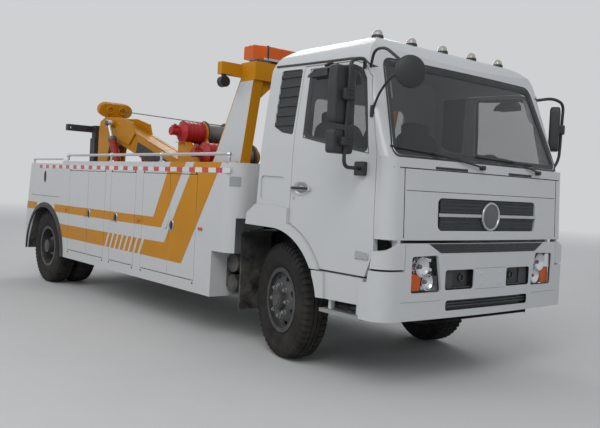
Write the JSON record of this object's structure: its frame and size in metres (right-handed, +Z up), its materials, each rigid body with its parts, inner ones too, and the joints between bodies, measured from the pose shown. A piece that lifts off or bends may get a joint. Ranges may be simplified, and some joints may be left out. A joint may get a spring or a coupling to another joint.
{
  "type": "tow truck",
  "caption": "Tow truck with a cab, side lockers, a light gantry, winches, and a rear boom with its folded underlift.",
  "frame": {"origin": "on the ground, below the middle of the vehicle's length and width", "axes": "+X forward, +Y to the vehicle's left, +Z up"},
  "size_m": [8.191, 3.02, 2.838],
  "materials": {
    "body_white": "gloss",
    "amber_yellow": "gloss",
    "winch_red": "gloss",
    "cylinder_red": "gloss",
    "frame_black": "satin",
    "engine_grey": "rough",
    "rim_grey": "satin",
    "drum_steel": "brushed",
    "rail_chrome": "polished",
    "tyre_black": "rough",
    "trim_dark": "matte",
    "lamp_black": "gloss",
    "amber_lens": "gloss",
    "clear_lens": "gloss",
    "window_glass": "gloss"
  },
  "bodies": {
    "chassis": {"chassis_frame": "frame_black", "front_axle": "frame_black", "rear_axle": "frame_black", "engine_block": "engine_grey", "tanks": "frame_black", "front_bumper": "body_white", "headlamps": "clear_lens", "step_sills": "body_white", "mudguards": "frame_black", "side_box_right": "body_white", "side_box_left": "body_white", "deck": "frame_black", "rails": "rail_chrome", "gantry": "amber_yellow", "light_bar": "amber_lens", "work_lamps": "lamp_black", "winch_frame": "amber_yellow", "winch_gearboxes": "winch_red"},
    "cab": {"cab_shell": "body_white", "cab_glass": "window_glass", "cab_interior": "trim_dark", "cab_vents": "trim_dark", "marker_lamps": "clear_lens"},
    "door_right": {"cab_door_right": "body_white", "door_glass_right": "window_glass", "mirrors_right": "trim_dark"},
    "steered_right": {"knuckle_right": "frame_black"},
    "front_wheel_right": {"front_rim_right": "rim_grey", "front_tyre_right": "tyre_black"},
    "rear_wheel_right": {"rear_rim_right": "rim_grey", "rear_tyre_right": "tyre_black"},
    "locker_rear_a_right": {"leaf_rear_a_right": "body_white"},
    "locker_rear_b_right": {"leaf_rear_b_right": "body_white"},
    "locker_middle_right": {"leaf_middle_right": "body_white"},
    "locker_front_a_right": {"leaf_front_a_right": "body_white"},
    "locker_front_b_right": {"leaf_front_b_right": "body_white"},
    "door_left": {"cab_door_left": "body_white", "door_glass_left": "window_glass", "mirrors_left": "trim_dark"},
    "steered_left": {"knuckle_left": "frame_black"},
    "front_wheel_left": {"front_rim_left": "rim_grey", "front_tyre_left": "tyre_black"},
    "rear_wheel_left": {"rear_rim_left": "rim_grey", "rear_tyre_left": "tyre_black"},
    "locker_rear_a_left": {"leaf_rear_a_left": "body_white"},
    "locker_rear_b_left": {"leaf_rear_b_left": "body_white"},
    "locker_middle_left": {"leaf_middle_left": "body_white"},
    "locker_front_a_left": {"leaf_front_a_left": "body_white"},
    "locker_front_b_left": {"leaf_front_b_left": "body_white"},
    "boom": {"boom": "amber_yellow"},
    "boom_head": {"boom_head": "amber_yellow"},
    "luff_barrels": {"luff_barrels": "cylinder_red"},
    "luff_rods": {"luff_rods": "rail_chrome"},
    "drum_upper": {"drum_upper": "drum_steel"},
    "drum_front": {"drum_front": "drum_steel"},
    "underlift_arm": {"underlift_arm": "frame_black"},
    "underlift_slide": {"underlift_slide": "frame_black"},
    "crossbar": {"crossbar": "frame_black"},
    "tilt_barrel": {"tilt_barrel": "cylinder_red"},
    "tilt_rod": {"tilt_rod": "rail_chrome"}
  },
  "joints": [
    {"name": "cab_tilt", "type": "hinge", "parent": "chassis", "child": "cab", "pos_m": [3.7575, 0, 0.7], "axis": [0, 1, 0], "range_deg": [0, 45]},
    {"name": "door_right_hinge", "type": "hinge", "parent": "cab", "child": "door_right", "pos_m": [3.6445, -1.15, 1.6], "axis": [0, 0, 1], "range_deg": [0, 65]},
    {"name": "steer_right", "type": "hinge", "parent": "chassis", "child": "steered_right", "pos_m": [2.4325, -0.82, 0.51], "axis": [0, 0, 1], "range_deg": [-23, 47]},
    {"name": "front_wheel_right_spin", "type": "hinge", "parent": "steered_right", "child": "front_wheel_right", "pos_m": [2.4148, -0.9031, 0.51], "axis": [0.2079, 0.9781, 0], "continuous": true},
    {"name": "rear_wheel_right_spin", "type": "hinge", "parent": "chassis", "child": "rear_wheel_right", "pos_m": [-2.8175, 0, 0.51], "axis": [0, 1, 0], "continuous": true},
    {"name": "locker_rear_a_right_hinge", "type": "hinge", "parent": "chassis", "child": "locker_rear_a_right", "pos_m": [-1.9675, -1.22, 1.065], "axis": [0, 0, -1], "range_deg": [0, 90]},
    {"name": "locker_rear_b_right_hinge", "type": "hinge", "parent": "chassis", "child": "locker_rear_b_right", "pos_m": [-0.8675, -1.22, 1.065], "axis": [0, 0, 1], "range_deg": [0, 90]},
    {"name": "locker_middle_right_hinge", "type": "hinge", "parent": "chassis", "child": "locker_middle_right", "pos_m": [-0.0625, -1.22, 1.065], "axis": [0, 0, 1], "range_deg": [0, 90]},
    {"name": "locker_front_a_right_hinge", "type": "hinge", "parent": "chassis", "child": "locker_front_a_right", "pos_m": [0.1225, -1.22, 1.065], "axis": [0, 0, -1], "range_deg": [0, 90]},
    {"name": "locker_front_b_right_hinge", "type": "hinge", "parent": "chassis", "child": "locker_front_b_right", "pos_m": [1.2525, -1.22, 1.065], "axis": [0, 0, 1], "range_deg": [0, 90]},
    {"name": "door_left_hinge", "type": "hinge", "parent": "cab", "child": "door_left", "pos_m": [3.6445, 1.15, 1.6], "axis": [0, 0, -1], "range_deg": [0, 65]},
    {"name": "steer_left", "type": "hinge", "parent": "chassis", "child": "steered_left", "pos_m": [2.4325, 0.82, 0.51], "axis": [0, 0, 1], "range_deg": [-23, 47]},
    {"name": "front_wheel_left_spin", "type": "hinge", "parent": "steered_left", "child": "front_wheel_left", "pos_m": [2.4502, 0.9031, 0.51], "axis": [0.2079, 0.9781, 0], "continuous": true},
    {"name": "rear_wheel_left_spin", "type": "hinge", "parent": "chassis", "child": "rear_wheel_left", "pos_m": [-2.8175, 0, 0.51], "axis": [0, 1, 0], "continuous": true},
    {"name": "locker_rear_a_left_hinge", "type": "hinge", "parent": "chassis", "child": "locker_rear_a_left", "pos_m": [-1.9675, 1.22, 1.065], "axis": [0, 0, 1], "range_deg": [0, 90]},
    {"name": "locker_rear_b_left_hinge", "type": "hinge", "parent": "chassis", "child": "locker_rear_b_left", "pos_m": [-0.8675, 1.22, 1.065], "axis": [0, 0, -1], "range_deg": [0, 90]},
    {"name": "locker_middle_left_hinge", "type": "hinge", "parent": "chassis", "child": "locker_middle_left", "pos_m": [-0.0625, 1.22, 1.065], "axis": [0, 0, -1], "range_deg": [0, 90]},
    {"name": "locker_front_a_left_hinge", "type": "hinge", "parent": "chassis", "child": "locker_front_a_left", "pos_m": [0.1225, 1.22, 1.065], "axis": [0, 0, 1], "range_deg": [0, 90]},
    {"name": "locker_front_b_left_hinge", "type": "hinge", "parent": "chassis", "child": "locker_front_b_left", "pos_m": [1.2525, 1.22, 1.065], "axis": [0, 0, -1], "range_deg": [0, 90]},
    {"name": "boom_lift", "type": "hinge", "parent": "chassis", "child": "boom", "pos_m": [-0.5175, 0, 1.48], "axis": [0, 1, 0], "range_deg": [-6, 20]},
    {"name": "boom_extend", "type": "slide", "parent": "boom", "child": "boom_head", "axis": [-0.9563, 0, 0.2924], "range_m": [0, 1]},
    {"name": "luff_barrel_swing", "type": "hinge", "parent": "chassis", "child": "luff_barrels", "pos_m": [-2.3675, 0, 1.25], "axis": [0, 1, 0], "range_deg": [-9, 26]},
    {"name": "luff_rod_slide", "type": "slide", "parent": "luff_barrels", "child": "luff_rods", "axis": [-0.5104, 0, 0.8599], "range_m": [-0.22, 0.67]},
    {"name": "drum_upper_spin", "type": "hinge", "parent": "chassis", "child": "drum_upper", "pos_m": [-0.4175, 0, 2.12], "axis": [0, 1, 0], "continuous": true},
    {"name": "drum_front_spin", "type": "hinge", "parent": "chassis", "child": "drum_front", "pos_m": [0.1625, 0, 1.85], "axis": [0, 1, 0], "continuous": true},
    {"name": "underlift_fold", "type": "hinge", "parent": "boom", "child": "underlift_arm", "pos_m": [-3.6875, 0, 0.85], "axis": [0, -1, 0], "range_deg": [0, 95]},
    {"name": "underlift_extend", "type": "slide", "parent": "underlift_arm", "child": "underlift_slide", "axis": [0, 0, 1], "range_m": [0, 0.6]},
    {"name": "crossbar_swivel", "type": "hinge", "parent": "underlift_slide", "child": "crossbar", "pos_m": [-3.9955, 0, 2.3], "axis": [1, 0, 0], "range_deg": [-40, 40]},
    {"name": "tilt_barrel_swing", "type": "hinge", "parent": "boom", "child": "tilt_barrel", "pos_m": [-3.6375, 0, 1.76], "axis": [0, 1, 0], "range_deg": [-1, 12]},
    {"name": "tilt_rod_slide", "type": "slide", "parent": "tilt_barrel", "child": "tilt_rod", "axis": [-0.1465, 0, -0.9892], "range_m": [-0.01, 0.3]}
  ],
  "couplings": [
    {"joint": "steer_left", "follows": "steer_right", "ratio": 1},
    {"joint": "luff_barrel_swing", "follows": "boom_lift", "ratio": 1.23},
    {"joint": "luff_rod_slide", "follows": "boom_lift", "m_per_rad": 1.82},
    {"joint": "tilt_barrel_swing", "follows": "underlift_fold", "ratio": 0.006},
    {"joint": "tilt_rod_slide", "follows": "underlift_fold", "m_per_rad": 0.1099}
  ]
}
